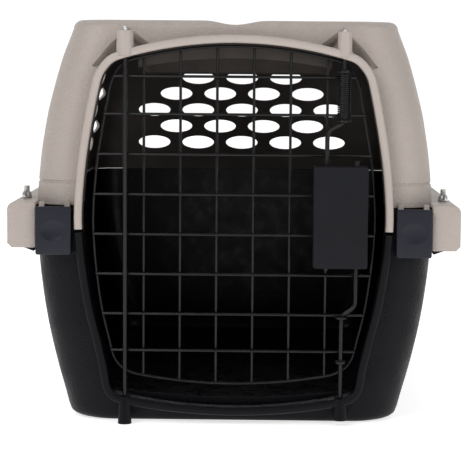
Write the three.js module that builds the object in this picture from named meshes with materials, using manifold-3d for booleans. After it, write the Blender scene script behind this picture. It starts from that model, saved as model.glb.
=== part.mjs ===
// Two-shell pet transport carrier, in millimetres. +Z is up, the door faces -Y, the origin is on the floor
// under the middle of the carrier.
import * as THREE from "three";
import { mergeVertices } from "three/addons/utils/BufferGeometryUtils.js";
import Module from "manifold-3d";

// ---- driving dimensions ----
const HALF_LENGTH = 305; // front of the latch to the edge of the rear flange is twice this
const HEIGHT = 377;
const SEAM_Z = 207.5; // top of the upper shell's flange
const SPLIT_Z = 204.1; // where the lower shell ends and the upper shell begins
const WALL = 3;
const FLOOR = 4; // thickness
const GAP = 0.4; // clearance between pieces that touch

const FACE_Y = -275; // front wall
const REAR_Y = 284; // rear wall
const CORNER_R = 34; // of the shells, in plan
const RIM_FRONT_Y = -291;
const RIM_WIDTH = 7.5;

const FLANGE_X = 211; // outer face of the side flanges
const SKIRT_Z = 190; // lower edge of the skirt along the sides
const EAR_Z = 165; // lower edge of the deep skirt at the front and rear corners
const EAR_LENGTH = 60;
const EAR_X = 184.5; // inner edge of an ear's end plate
const TONGUE_Z = 183; // the upper shell's part of the rim ends here

const WIRE_R = 1.3;
const ROD_R = 2.1;
const ROD_X = 101; // hinge rod at -ROD_X, latch rods at +ROD_X
const ROD_Y = -285.5;
const CROSS_WIRE_Y = -281.8; // lies against the back of the hinge rod
const UPRIGHT_Y = -278.8; // uprights and the wire round the door
const CLEAR_Y = CROSS_WIRE_Y - WIRE_R - 0.4; // nothing that slides reaches behind this
const WIRE_PITCH = 34;
const CROSS_WIRE_Z = [69, 103.6, 141, 178.3, 215.6, 252.9, 290.2, 325];
const BOSS_R = 7;
const LATCH_TRAVEL = 28;
const SPRING_TOP = 328.5;
const LOOP_Z = [102, 285];

const PAD_X = 98.5;
const PAD_Z = 197;
const PAD_WIDTH = 50;
const PAD_HEIGHT = 94;

const VENT_LENGTH = 39.5;
const VENT_HEIGHT = 15.8;
const VENT_PITCH = 54.6;
const VENT_ROWS = [318.5, 298.4, 278.2, 258, 237.8];

const TRAY = { halfWidth: 92, halfLength: 120, floorZ: 329 };
const HANDLE = { z: 354, reach: 62, halfLength: 58, r: 7, pinR: 3.6 };

const CLIP = { x: 167.5, width: 33, top: 205, bottom: 159, axisY: -283, axisZ: 200 };
const BOLT_R = 2.9;

// ---- materials ----
const plastic = (color, roughness) => new THREE.MeshStandardMaterial({ color, roughness, metalness: 0 });
const steel = (color, roughness) => new THREE.MeshStandardMaterial({ color, roughness, metalness: 1 });
const TAUPE = plastic(0xb8aca2, 0.6);
const BLACK = plastic(0x17181c, 0.5);
const CLIP_BLUE = plastic(0x252a38, 0.4);
const LATCH_GREY = plastic(0x1d1f25, 0.6);
const WIRE_BLACK = steel(0x15161a, 0.35);
const ZINC = steel(0xb9bcc0, 0.35);

// ---- solids ----
const wasm = await Module();
wasm.setup();

function solid(geometry) {
  const bare = geometry.index ? geometry.toNonIndexed() : geometry.clone();
  bare.deleteAttribute("normal");
  bare.deleteAttribute("uv");
  const merged = mergeVertices(bare, 1e-4);
  return new wasm.Manifold(
    new wasm.Mesh({
      numProp: 3,
      vertProperties: merged.attributes.position.array,
      triVerts: new Uint32Array(merged.index.array),
    }),
  );
}

function geometryOf(manifold) {
  const mesh = manifold.getMesh();
  return new THREE.BufferGeometry()
    .setAttribute("position", new THREE.BufferAttribute(mesh.vertProperties, 3))
    .setIndex(new THREE.BufferAttribute(mesh.triVerts, 1));
}

const join = (...parts) => parts.flat().reduce((a, b) => a.add(b));
const cut = (body, ...tools) => tools.flat().reduce((a, b) => a.subtract(b), body);

// A box between two opposite corners.
function box([x0, y0, z0], [x1, y1, z1]) {
  const g = new THREE.BoxGeometry(Math.abs(x1 - x0), Math.abs(y1 - y0), Math.abs(z1 - z0));
  return solid(g.translate((x0 + x1) / 2, (y0 + y1) / 2, (z0 + z1) / 2));
}

// A cylinder of radius r between two points.
function rod(from, to, r, sides = 10) {
  const a = new THREE.Vector3(...from);
  const b = new THREE.Vector3(...to);
  const g = new THREE.CylinderGeometry(r, r, a.distanceTo(b), sides);
  const turn = new THREE.Quaternion().setFromUnitVectors(
    new THREE.Vector3(0, 1, 0),
    b.clone().sub(a).normalize(),
  );
  return solid(g.applyQuaternion(turn).translate(...a.add(b).multiplyScalar(0.5).toArray()));
}

// An outline in the XZ plane, made solid between two values of y.
function frontPrism(points, y0, y1) {
  const shape = new THREE.Shape(points.map(([x, z]) => new THREE.Vector2(x, z)));
  const g = new THREE.ExtrudeGeometry(shape, { depth: y1 - y0, bevelEnabled: false });
  return solid(g.rotateX(Math.PI / 2).translate(0, y1, 0));
}

// A round bar that follows points.
function bentBar(points, r, sides, steps) {
  const path = new THREE.CatmullRomCurve3(points.map((p) => new THREE.Vector3(...p)), false, "centripetal");
  const section = new THREE.Shape(
    Array.from({ length: sides }, (_, i) => {
      const a = (2 * Math.PI * i) / sides;
      return new THREE.Vector2(r * Math.cos(a), r * Math.sin(a));
    }),
  );
  return solid(new THREE.ExtrudeGeometry(section, { steps, extrudePath: path, bevelEnabled: false }));
}

// ---- outlines ----
const mirrored = (half) => [...half, ...half.slice().reverse().map(([x, z]) => [-x, z])];

// Points of an arc through (x0, z0) and (0, crown), where x0 is positive.
function crownArc(x0, z0, crown, steps) {
  return Array.from({ length: steps + 1 }, (_, i) => {
    const x = x0 * (1 - i / steps);
    return [x, crown + (z0 - crown) * (x / x0) ** 2];
  });
}

const SILL_Z = 16.5; // lowest and highest point of the doorway
const ARCH_Z = 356;

// Right half of the doorway, from the middle of the sill up to the middle of the arch.
function doorwayHalf() {
  const sill = crownArc(108, 27.5, SILL_Z, 4).reverse().slice(1);
  const side = new THREE.SplineCurve(
    [
      [111.5, 29.5], [114.5, 36], [117.5, 55], [123.8, 82], [131, 111], [136.5, 144],
      [140, 175], [140.5, 204], [136.5, 249], [129, 294], [122, 326],
    ].map(([x, z]) => new THREE.Vector2(x, z)),
  ).getSpacedPoints(11).map((p) => [p.x, p.y]);
  const arch = crownArc(112, 338.5, ARCH_Z, 5).slice(0, -1);
  return [...sill, ...side, [119, 335], ...arch];
}

const DOORWAY = (() => {
  const half = doorwayHalf();
  return [[0, SILL_Z], ...half, [0, ARCH_Z], ...half.slice().reverse().map(([x, z]) => [-x, z])];
})();

// Moves every point of a closed outline along its outward normal.
function grown(outline, by) {
  const n = outline.length;
  return outline.map(([x, z], i) => {
    const [ax, az] = outline[(i + n - 1) % n];
    const [bx, bz] = outline[(i + 1) % n];
    const length = Math.hypot(bx - ax, bz - az);
    return [x + (by * (bz - az)) / length, z - (by * (bx - ax)) / length];
  });
}

// Rounded rectangle in plan, always with the same number of points.
function plan(halfWidth, front, rear, r) {
  const corners = [
    [halfWidth - r, front + r, -Math.PI / 2],
    [halfWidth - r, rear - r, 0],
    [r - halfWidth, rear - r, Math.PI / 2],
    [r - halfWidth, front + r, Math.PI],
  ];
  const steps = 4;
  return corners.flatMap(([cx, cy, start]) =>
    Array.from({ length: steps + 1 }, (_, i) => {
      const a = start + (i * Math.PI) / (2 * steps);
      return [cx + r * Math.cos(a), cy + r * Math.sin(a)];
    }),
  );
}

// A closed body through plan outlines stacked from low to high.
function loft(levels) {
  const position = [];
  const index = [];
  const n = levels[0].outline.length;
  levels.forEach(({ z, outline }) => outline.forEach(([x, y]) => position.push(x, y, z)));
  for (let k = 0; k + 1 < levels.length; k++)
    for (let i = 0; i < n; i++) {
      const a = k * n + i;
      const b = k * n + ((i + 1) % n);
      index.push(a, b, b + n, a, b + n, a + n);
    }
  const top = (levels.length - 1) * n;
  for (let i = 1; i + 1 < n; i++) {
    index.push(0, i + 1, i);
    index.push(top, top + i, top + i + 1);
  }
  const g = new THREE.BufferGeometry().setIndex(index);
  g.setAttribute("position", new THREE.Float32BufferAttribute(position, 3));
  return solid(g);
}

// Outer half-width and how far the front and rear walls lean in, from the floor to the roof.
const PROFILE = [
  { z: 0, w: 146, lean: 9 },
  { z: 3, w: 154, lean: 5 },
  { z: 9, w: 158, lean: 3 },
  { z: 27, w: 162, lean: 2 },
  { z: 63, w: 171.5, lean: 1 },
  { z: 98, w: 179, lean: 0 },
  { z: 144, w: 185.5, lean: 0 },
  { z: SPLIT_Z, w: 187.5, lean: 0 },
  { z: 240, w: 185, lean: 0 },
  { z: 272, w: 180.5, lean: 1 },
  { z: 310, w: 172.5, lean: 2 },
  { z: 346, w: 162.5, lean: 5 },
  { z: 367, w: 154, lean: 7 },
  { z: 373, w: 151, lean: 10 },
  { z: HEIGHT, w: 145, lean: 17 },
];

function profileAt(z) {
  const k = Math.max(1, PROFILE.findIndex((p) => p.z >= z - 1e-9));
  const [a, b] = [PROFILE[k - 1], PROFILE[k]];
  const t = (z - a.z) / (b.z - a.z);
  return { w: a.w + t * (b.w - a.w), lean: a.lean + t * (b.lean - a.lean) };
}

// The carrier's body between two heights, drawn in by inset on every side.
function bodyBetween(low, high, inset) {
  const inside = PROFILE.map((p) => p.z).filter((z) => z > low + 1 && z < high - 1);
  return loft(
    [low, ...inside, high].map((z) => {
      const { w, lean } = profileAt(z);
      return {
        z,
        outline: plan(w - inset, FACE_Y + lean + inset, REAR_Y - lean - inset, CORNER_R - inset),
      };
    }),
  );
}

// ---- shells ----
function ventRow(z, count) {
  return Array.from({ length: count }, (_, i) => [(i - (count - 1) / 2) * VENT_PITCH, z]);
}

function ventPrism([along, z], depth) {
  const g = new THREE.CylinderGeometry(1, 1, depth, 8).scale(VENT_LENGTH / 2, 1, VENT_HEIGHT / 2);
  return g.translate(along, 0, z);
}

function rearVents() {
  const counts = [3, 4, 5, 4, 5];
  return VENT_ROWS.flatMap((z, i) => ventRow(z, counts[i])).map((spot) =>
    solid(ventPrism(spot, 60).translate(0, REAR_Y, 0)),
  );
}

// Rows of eight and nine by turns, ending near the rear corner.
function sideVents() {
  const spots = VENT_ROWS.flatMap((z, i) => {
    const [count, last] = i % 2 ? [9, 243] : [8, 216];
    return Array.from({ length: count }, (_, k) => [last - k * VENT_PITCH, z]);
  });
  return [-1, 1].flatMap((side) =>
    spots.map(([y, z]) => solid(ventPrism([0, z], 80).rotateZ(Math.PI / 2).translate(side * 175, y, 0))),
  );
}

function rimRing(y0, y1) {
  return cut(
    frontPrism(grown(DOORWAY, RIM_WIDTH), y0, y1),
    frontPrism(DOORWAY, y0 - 1, y1 + 1),
  );
}

const rodHole = (x, z0, z1) => rod([x, ROD_Y, z0], [x, ROD_Y, z1], ROD_R + 0.5, 12);

// Shallow scoop that leads from the front edge of the roof to the handle tray.
function scoop(halfWidth, depth) {
  const arc = crownArc(halfWidth, HEIGHT + 2, HEIGHT - depth, 3);
  return frontPrism(mirrored(arc.reverse().slice(1)).concat([[0, HEIGHT - depth]]).reverse(), FACE_Y - 20, -100);
}

function trayBox(grow) {
  return box(
    [-TRAY.halfWidth - grow, -TRAY.halfLength - grow, TRAY.floorZ - grow],
    [TRAY.halfWidth + grow, TRAY.halfLength + grow, HEIGHT + 5],
  );
}

// Section of the side flange between x = inner and its outer face, rounded at the top and chamfered below.
function flangeSection(side, inner, low, chamfer) {
  return [
    [inner, SEAM_Z], [FLANGE_X - 7, SEAM_Z], [FLANGE_X - 3.5, SEAM_Z - 1], [FLANGE_X - 1, SEAM_Z - 3.5],
    [FLANGE_X, SEAM_Z - 7], [FLANGE_X, low + chamfer], [FLANGE_X - chamfer, low], [inner, low],
  ].map(([x, z]) => [side * x, z]);
}

// Room under the flange, clear of its plate and of its skirt.
function underFlange(side, y0, y1) {
  return box([side * 150, y0, SKIRT_Z - 50], [side * (FLANGE_X - WALL), y1, SPLIT_Z + GAP]);
}

// Flange with its skirt on one side; side is -1 or 1.
function upperFlange(side) {
  const end = REAR_Y - 4;
  const rail = cut(
    frontPrism(flangeSection(side, 180, SKIRT_Z, 1), FACE_Y + 20, end),
    underFlange(side, FACE_Y, end + 1),
  );
  const ears = [-1, 1].map((dir) => {
    const tip = dir < 0 ? FACE_Y - 10 : end;
    const back = tip - dir * EAR_LENGTH;
    return cut(
      frontPrism(flangeSection(side, EAR_X, EAR_Z, 4), Math.min(tip, back), Math.max(tip, back)),
      underFlange(side, tip - dir * WALL, back - dir),
    );
  });
  return join(rail, ears);
}

function rearFlange(z0, z1, y1, halfWidth) {
  return box([-halfWidth, REAR_Y - 4, z0], [halfWidth, y1, z1]);
}

const BOLTS = [
  ...[-1, 1].flatMap((side) => [-235, 0, 235].map((y) => [side * 199, y])),
  [-95, 296],
  [95, 296],
];
const boltHoles = () => BOLTS.map(([x, y]) => rod([x, y, SPLIT_Z - 20], [x, y, SEAM_Z + 5], BOLT_R + 0.5, 8));

// Lugs on the upper shell that hold a clip's pin. The clip's plate swings round their front.
function clipLugs(side) {
  const { x, width, axisY, axisZ } = CLIP;
  const r = 3.9;
  return [-1, 1].map((end) => {
    const at = side * x + end * (width / 2 - 4.5);
    const lug = join(
      rod([at - 2.5, axisY, axisZ], [at + 2.5, axisY, axisZ], r, 12),
      box([at - 2.5, axisY, axisZ - r], [at + 2.5, FACE_Y - GAP, axisZ + r - 0.2]),
      box([at - 2.5, axisY + 4.5, axisZ - r], [at + 2.5, FACE_Y - GAP, SEAM_Z]),
      box([at - 2.5, axisY + 4.5, SPLIT_Z + GAP], [at + 2.5, FACE_Y + 18, SEAM_Z]),
    );
    return cut(lug, rod([at - 5, axisY, axisZ], [at + 5, axisY, axisZ], 2.0, 10));
  });
}

function upperShell() {
  const outer = bodyBetween(SPLIT_Z + GAP, HEIGHT, 0);
  const room = cut(bodyBetween(SPLIT_Z - 10, HEIGHT - WALL, WALL), trayBox(WALL), scoop(34, 4 + WALL));
  const shell = cut(outer, room, trayBox(0), scoop(28, 4));
  const halfRim = cut(rimRing(RIM_FRONT_Y, FACE_Y + 7), box([-200, -400, -50], [200, -200, SPLIT_Z + GAP]));
  const tongues = cut(
    rimRing(RIM_FRONT_Y, FACE_Y - GAP),
    box([-200, -400, -50], [200, -200, TONGUE_Z]),
    box([-200, -400, SPLIT_Z + 2], [200, -200, 400]),
  );
  const stop = frontPrism(
    [...mirrored(crownArc(90, 349, 360, 4).slice(0, -1)), ...mirrored(crownArc(90, 333, 342, 4).slice(0, -1)).reverse()],
    FACE_Y + 6,
    FACE_Y + 9,
  );
  const bosses = [-ROD_X, ROD_X].map((x) =>
    join(
      rod([x, ROD_Y, 344], [x, ROD_Y, 367], BOSS_R, 14),
      box([x - 4, ROD_Y + 3, 345], [x + 4, FACE_Y + 9, 366]),
    ),
  );
  const body = join(
    cut(shell, frontPrism(DOORWAY, FACE_Y - 20, FACE_Y + 30)),
    halfRim, tongues, stop, bosses,
    upperFlange(-1), upperFlange(1),
    rearFlange(SPLIT_Z + GAP, SEAM_Z, HALF_LENGTH, 150),
    box([-150, HALF_LENGTH - WALL, SKIRT_Z], [150, HALF_LENGTH, SEAM_Z]),
  );
  const cabin = bodyBetween(SPLIT_Z - 10, 324, WALL);
  return cut(
    join(cut(body, cabin), stop, clipLugs(-1), clipLugs(1)),
    sideVents(), rearVents(), boltHoles(),
    rodHole(-ROD_X, 325, HEIGHT + 5), rodHole(ROD_X, 325, HEIGHT + 5),
  );
}

// Ledge of the lower shell under the side flange, with a deep block that fills the front ear.
function lowerFlange(side) {
  const x = side * (FLANGE_X - WALL - GAP);
  const tip = FACE_Y - 10 + WALL + GAP;
  const low = EAR_Z - 4;
  const outer = FLANGE_X - WALL - GAP;
  const block = [[176, SPLIT_Z], [outer, SPLIT_Z], [outer, low + 8], [EAR_X, low], [176, low]];
  return [
    box([side * 180, FACE_Y + 20, SPLIT_Z - WALL], [x, REAR_Y - 4 - WALL - GAP, SPLIT_Z]),
    cut(
      frontPrism(block.map(([px, pz]) => [side * px, pz]), tip, tip + 40),
      box([side * 170, tip - 1, 100], [side * (EAR_X + 1.5), FACE_Y + 18, 250]),
    ),
  ];
}

// Ledge under each clip that the clip's hook catches.
function clipLedge(side) {
  const { x, width } = CLIP;
  return box([side * x - width / 2 + 4, FACE_Y - 3, 166], [side * x + width / 2 - 4, FACE_Y + 30, 170]);
}

function lowerShell() {
  const outer = bodyBetween(0, SPLIT_Z, 0);
  const room = bodyBetween(FLOOR, SPLIT_Z + 10, WALL);
  const rim = cut(
    rimRing(RIM_FRONT_Y, FACE_Y + 7),
    box([-200, -400, TONGUE_Z - GAP], [200, -200, 500]),
  );
  const bosses = [-ROD_X, ROD_X].map((x) =>
    join(
      rod([x, ROD_Y, x < 0 ? 0 : 5], [x, ROD_Y, 26], BOSS_R - 1, 14),
      box([x - 4, ROD_Y + 3, 5], [x + 4, FACE_Y + 20, 24]),
    ),
  );
  const body = join(cut(outer, room), rim, bosses, lowerFlange(-1), lowerFlange(1), clipLedge(-1), clipLedge(1),
    rearFlange(SPLIT_Z - WALL, SPLIT_Z, HALF_LENGTH - WALL - GAP, 147));
  const lip = mirrored(crownArc(108, 29.5, 22, 4).slice(0, -1));
  const threshold = frontPrism([[108, 3], ...lip, [-108, 3]], FACE_Y + 9, FACE_Y + 12);
  const doorwayCut = frontPrism(DOORWAY, FACE_Y - 40, FACE_Y + 8);
  return cut(
    join(cut(body, bodyBetween(30, SPLIT_Z + 10, WALL), doorwayCut), threshold),
    boltHoles(), rodHole(-ROD_X, 9, 60), rodHole(ROD_X, 9, 60),
  );
}

// ---- door ----
const DOOR_OUTLINE = (() => {
  const half = [
    ...crownArc(96, 47, 37.5, 4).reverse().slice(1),
    [104, 51.5], [110, 58], [113.4, 66], [115.5, 76], [122.4, 104], [127.8, 140], [130.8, 175],
    [131, 204], [127, 249], [119.5, 294], [115, 318], [108, 333],
    ...crownArc(102, 338.5, 353, 5).slice(0, -1),
  ];
  return [[0, 37.5], ...half, [0, 353], ...half.slice().reverse().map(([x, z]) => [-x, z])];
})();

// Height of the door's outline above (or below) at x, and its half-width at z.
function outlineZ(x, top) {
  const zs = crossings(0, 1, x);
  return top ? Math.max(...zs) : Math.min(...zs);
}
const outlineX = (z) => Math.max(...crossings(1, 0, z));

function crossings(fixed, free, value) {
  return DOOR_OUTLINE.flatMap((a, i) => {
    const b = DOOR_OUTLINE[(i + 1) % DOOR_OUTLINE.length];
    if ((a[fixed] - value) * (b[fixed] - value) > 0 || a[fixed] === b[fixed]) return [];
    return [a[free] + ((b[free] - a[free]) * (value - a[fixed])) / (b[fixed] - a[fixed])];
  });
}

function perimeterWire() {
  const ring = (by) => grown(DOOR_OUTLINE, by);
  const y = UPRIGHT_Y;
  return cut(
    frontPrism(ring(WIRE_R), y - WIRE_R, y + WIRE_R),
    frontPrism(ring(-WIRE_R), y - 5, y + 5),
  );
}

function uprightWire(i) {
  const x = (i - 2.5) * WIRE_PITCH + 1;
  const margin = WIRE_R + 1;
  return rod([x, UPRIGHT_Y, outlineZ(x, false) + margin], [x, UPRIGHT_Y, outlineZ(x, true) - margin], WIRE_R, 8);
}

function crossWire(z) {
  const x = outlineX(z) + 1;
  return rod([-x, CROSS_WIRE_Y, z], [x, CROSS_WIRE_Y, z], WIRE_R, 8);
}

const hingeRod = () => rod([-ROD_X, ROD_Y, 10], [-ROD_X, ROD_Y, 371], ROD_R, 12);

// Trims what sits on a latch rod, so that it slides past the cross wires.
const behindWires = (z) => box([ROD_X - 12, CLEAR_Y, z - 30], [ROD_X + 12, CLEAR_Y + 12, z + 30]);

// Loop on the door that guides a latch rod.
function guideLoop(z) {
  const ring = cut(
    rod([ROD_X, ROD_Y, z - 1.6], [ROD_X, ROD_Y, z + 1.6], 6.6, 14),
    rod([ROD_X, ROD_Y, z - 3], [ROD_X, ROD_Y, z + 3], ROD_R + 0.6, 12),
  );
  return cut(ring, behindWires(z));
}

// ---- latch ----
const UPPER_BAR_X = ROD_X - 15;
const LOWER_BAR_X = ROD_X + 13;

// Rod with one sideways step at z = step, from xa to xb.
function latchRod(xa, za, xb, zb, step) {
  const half = 3 * Math.sign(zb - za);
  const bends = [[xa, ROD_Y, step - half], [xb, ROD_Y, step + half]];
  const elbows = bends.map((at) => solid(new THREE.SphereGeometry(ROD_R, 10, 6).translate(...at)));
  return join(
    rod([xa, ROD_Y, za], bends[0], ROD_R, 10),
    rod(bends[0], bends[1], ROD_R, 10),
    rod(bends[1], [xb, ROD_Y, zb], ROD_R, 10),
    elbows,
  );
}

const upperLatchRod = () => latchRod(ROD_X, 369, UPPER_BAR_X, PAD_Z - PAD_HEIGHT / 2 - 5, 279);
const lowerLatchRod = () => latchRod(ROD_X, 11, LOWER_BAR_X, PAD_Z + PAD_HEIGHT / 2 + 5, 108);

function collar(z, r, thickness) {
  return cut(
    rod([ROD_X, ROD_Y, z - thickness / 2], [ROD_X, ROD_Y, z + thickness / 2], r, 14),
    rod([ROD_X, ROD_Y, z - 9], [ROD_X, ROD_Y, z + 9], ROD_R + GAP, 12),
    behindWires(z),
  );
}

// Coil spring, drawn as the sleeve that its closed turns make.
function latchSpring() {
  const [low, high] = [LOOP_Z[1] + 2.2, SPRING_TOP];
  return cut(
    rod([ROD_X, ROD_Y, low], [ROD_X, ROD_Y, high], 6.4, 14),
    rod([ROD_X, ROD_Y, low - 2], [ROD_X, ROD_Y, high + 2], 4.4, 12),
    behindWires((low + high) / 2),
  );
}

function padPlate(y0, y1, bevel) {
  const [w, h] = [PAD_WIDTH / 2, PAD_HEIGHT / 2];
  const c = bevel;
  return frontPrism(
    [[w - c, -h], [w, c - h], [w, h - c], [w - c, h], [c - w, h], [-w, h - c], [-w, c - h], [c - w, -h]]
      .map(([x, z]) => [x + PAD_X, z + PAD_Z]),
    y0, y1,
  );
}

// The front grip's lug slides in the back grip's slot: the two part by twice the latch's travel.
const SLOT = { low: PAD_Z - 36, high: PAD_Z + 36, halfWidth: 5 };
const LUG_HALF = 6;

function frontPad() {
  const top = SLOT.high - 1;
  const lug = box(
    [UPPER_BAR_X - 4, -297, top - 2 * LUG_HALF],
    [UPPER_BAR_X + 4, ROD_Y - ROD_R - GAP, top],
  );
  return join(padPlate(-HALF_LENGTH, -296.5, 3), lug);
}

function backPad() {
  const slot = box([UPPER_BAR_X - SLOT.halfWidth, -300, SLOT.low], [UPPER_BAR_X + SLOT.halfWidth, -280, SLOT.high]);
  return cut(padPlate(-296, ROD_Y - ROD_R - GAP, 3), slot);
}

// ---- clips ----
function clip(side) {
  const { x, width, top, bottom, axisY, axisZ } = CLIP;
  const [x0, x1] = [side * x - width / 2, side * x + width / 2];
  const plate = box([x0, axisY - 8, bottom], [x1, axisY - 4.4, top - 1]);
  const edge = [x0, x1 - 2.4].map((e) => box([e, axisY - 6, bottom], [e + 2.4, axisY + 4, axisZ - 8]));
  const hook = box([x0, axisY - 6, bottom], [x1, FACE_Y - 1, bottom + 5]);
  const knuckle = join(
    rod([side * x - 8, axisY, axisZ], [side * x + 8, axisY, axisZ], 3.8, 12),
    box([side * x - 8, axisY - 6, axisZ - 3], [side * x + 8, axisY, axisZ + 3]),
  );
  const dish = new THREE.SphereGeometry(1, 14, 8).scale(12, 2.6, 9.5).translate(side * x, axisY - 8.4, 182);
  const bore = rod([x0 - 5, axisY, axisZ], [x1 + 5, axisY, axisZ], 2.0, 10);
  return cut(join(plate, edge, hook, knuckle), solid(dish), bore);
}

function clipPin(side) {
  const { x, width, axisY, axisZ } = CLIP;
  const half = width / 2 - 0.5;
  return rod([side * x - half, axisY, axisZ], [side * x + half, axisY, axisZ], 1.6, 10);
}

// ---- fasteners ----
function flangeBolt([x, y]) {
  const head = rod([x, y, SPLIT_Z - WALL - GAP - 4], [x, y, SPLIT_Z - WALL - GAP], 5.2, 6);
  return join(head, rod([x, y, SPLIT_Z - WALL - GAP - 1], [x, y, SEAM_Z + 12], BOLT_R, 8));
}

function wingNut([x, y]) {
  const z = SEAM_Z + GAP;
  const turn = y > REAR_Y ? Math.PI / 2 : 0;
  const wing = (end) => {
    const g = new THREE.BoxGeometry(2, 9, 8).rotateX(end * 0.3).translate(0, end * 7, z + 6);
    return solid(g.rotateZ(turn).translate(x, y, 0));
  };
  const hub = rod([x, y, z], [x, y, z + 6], 4.6, 12);
  return cut(join(hub, wing(-1), wing(1)), rod([x, y, z - 5], [x, y, z + 20], BOLT_R + GAP, 10));
}

// ---- handle ----
function carryHandle() {
  const { z, reach, halfLength, r, pinR } = HANDLE;
  const leg = (end) => [[4, end * halfLength, z], [reach * 0.55, end * halfLength, z]];
  const points = [
    ...leg(-1), [reach * 0.9, -halfLength * 0.9, z], [reach, -halfLength * 0.6, z],
    [reach, halfLength * 0.6, z], [reach * 0.9, halfLength * 0.9, z], ...leg(1).reverse(),
  ];
  const eyes = [-1, 1].map((end) => rod([0, end * halfLength - 5, z], [0, end * halfLength + 5, z], r + 0.6, 14));
  const pins = [-1, 1].map((end) =>
    rod([0, end * (halfLength + 4), z], [0, end * (halfLength + 20), z], pinR, 12),
  );
  return join(bentBar(points, r, 10, 20), eyes, pins);
}

function handleBracket(end) {
  const { z, halfLength, pinR } = HANDLE;
  const [y0, y1] = [end * (halfLength + 7), end * (halfLength + 19)];
  const post = join(
    box([-9, y0, TRAY.floorZ + GAP], [9, y1, z]),
    rod([0, y0, z], [0, y1, z], 9, 14),
    box([-20, y0, TRAY.floorZ + GAP], [20, y1, TRAY.floorZ + 5]),
  );
  return cut(post, rod([0, y0 - end * 5, z], [0, y1 + end * 5, z], pinR + GAP, 12));
}

// ---- assembly ----
const carrier = new THREE.Group();

function add(name, manifold, material) {
  const mesh = new THREE.Mesh(geometryOf(manifold), material);
  mesh.name = name;
  carrier.add(mesh);
}

add("upper_shell", upperShell(), TAUPE);
add("lower_shell", lowerShell(), BLACK);

add("door_perimeter_wire", perimeterWire(), WIRE_BLACK);
for (let i = 0; i < 6; i++) add(`door_upright_wire_${i + 1}`, uprightWire(i), WIRE_BLACK);
CROSS_WIRE_Z.forEach((z, i) => add(`door_cross_wire_${i + 1}`, crossWire(z), WIRE_BLACK));
add("door_hinge_rod", hingeRod(), WIRE_BLACK);
add("latch_guide_loop_lower", guideLoop(LOOP_Z[0]), WIRE_BLACK);
add("latch_guide_loop_upper", guideLoop(LOOP_Z[1]), WIRE_BLACK);

add("latch_rod_upper", upperLatchRod(), WIRE_BLACK);
add("latch_rod_lower", lowerLatchRod(), WIRE_BLACK);
add("latch_collar_upper", collar(SPRING_TOP + 2, 6.4, 3), WIRE_BLACK);
add("latch_collar_lower", collar(60, 5.4, 3), WIRE_BLACK);
add("latch_spring", latchSpring(), WIRE_BLACK);
add("latch_pad_front", frontPad(), LATCH_GREY);
add("latch_pad_back", backPad(), LATCH_GREY);

for (const [side, word] of [[-1, "left"], [1, "right"]]) {
  add(`clip_${word}`, clip(side), CLIP_BLUE);
  add(`clip_pin_${word}`, clipPin(side), ZINC);
}

BOLTS.forEach((spot, i) => {
  add(`flange_bolt_${i + 1}`, flangeBolt(spot), ZINC);
  add(`wing_nut_${i + 1}`, wingNut(spot), ZINC);
});

add("carry_handle", carryHandle(), TAUPE);
add("handle_bracket_front", handleBracket(-1), BLACK);
add("handle_bracket_rear", handleBracket(1), BLACK);

export default carrier;
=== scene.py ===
import math

import bmesh
import bpy
from mathutils import Matrix, Vector


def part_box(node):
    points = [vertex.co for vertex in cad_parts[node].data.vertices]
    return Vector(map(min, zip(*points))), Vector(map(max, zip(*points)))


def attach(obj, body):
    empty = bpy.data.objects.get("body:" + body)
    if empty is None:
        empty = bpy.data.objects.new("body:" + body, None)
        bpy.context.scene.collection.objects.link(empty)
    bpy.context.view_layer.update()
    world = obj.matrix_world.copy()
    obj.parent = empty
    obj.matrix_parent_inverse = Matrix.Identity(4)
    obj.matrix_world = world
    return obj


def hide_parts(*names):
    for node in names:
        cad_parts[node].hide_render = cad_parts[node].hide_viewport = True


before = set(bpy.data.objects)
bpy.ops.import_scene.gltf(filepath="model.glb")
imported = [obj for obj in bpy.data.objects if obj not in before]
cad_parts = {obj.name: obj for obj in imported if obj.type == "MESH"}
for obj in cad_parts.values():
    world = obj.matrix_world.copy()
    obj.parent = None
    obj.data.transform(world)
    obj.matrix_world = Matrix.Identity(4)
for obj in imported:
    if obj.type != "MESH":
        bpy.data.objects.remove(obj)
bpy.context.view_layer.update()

# Shapes below are worked out in millimetres in the frame's axes: the door faces -Y and +Z is up.
MM = 0.001


def corners(node):
    """Lowest and highest corner of a CAD node, in millimetres."""
    low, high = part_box(node)
    return low / MM, high / MM


def centre(node):
    low, high = corners(node)
    return (low + high) / 2


SHELL_LOW, SHELL_HIGH = corners("upper_shell")
TUB_LOW, TUB_HIGH = corners("lower_shell")
ROOF_Z = SHELL_HIGH.z
SPLIT_Z = TUB_HIGH.z
SEAM_Z = SPLIT_Z + 3.4
FLANGE_X = SHELL_HIGH.x
REAR_EDGE_Y = SHELL_HIGH.y
ROD = centre("door_hinge_rod")
ROD_X = -ROD.x
ROD_Y = ROD.y
ROD_R = 2.1
WIRE_R = 1.3
FACE_Y = -275
REAR_Y = 284
RIM_FRONT_Y = -291
RIM_BACK_Y = -268
RIM_WIDTH = 7.5
WALL = 3
CORNER_R = 34
EAR_Z = SHELL_LOW.z
EAR_LENGTH = 60
EAR_X = 184.5
TONGUE_Z = 183
SKIRT_Z = 190


# ---------------------------------------------------------------- materials
def node_material(name):
    material = bpy.data.materials.new(name)
    material.use_nodes = True
    tree = material.node_tree
    return material, tree.nodes, tree.links, tree.nodes["Principled BSDF"]


def texture(nodes, links, kind, scale, detail=None):
    where = nodes.new("ShaderNodeTexCoord")
    tex = nodes.new(kind)
    links.new(where.outputs["Object"], tex.inputs["Vector"])
    tex.inputs["Scale"].default_value = scale
    if detail is not None:
        tex.inputs["Detail"].default_value = detail
    return tex


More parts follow.
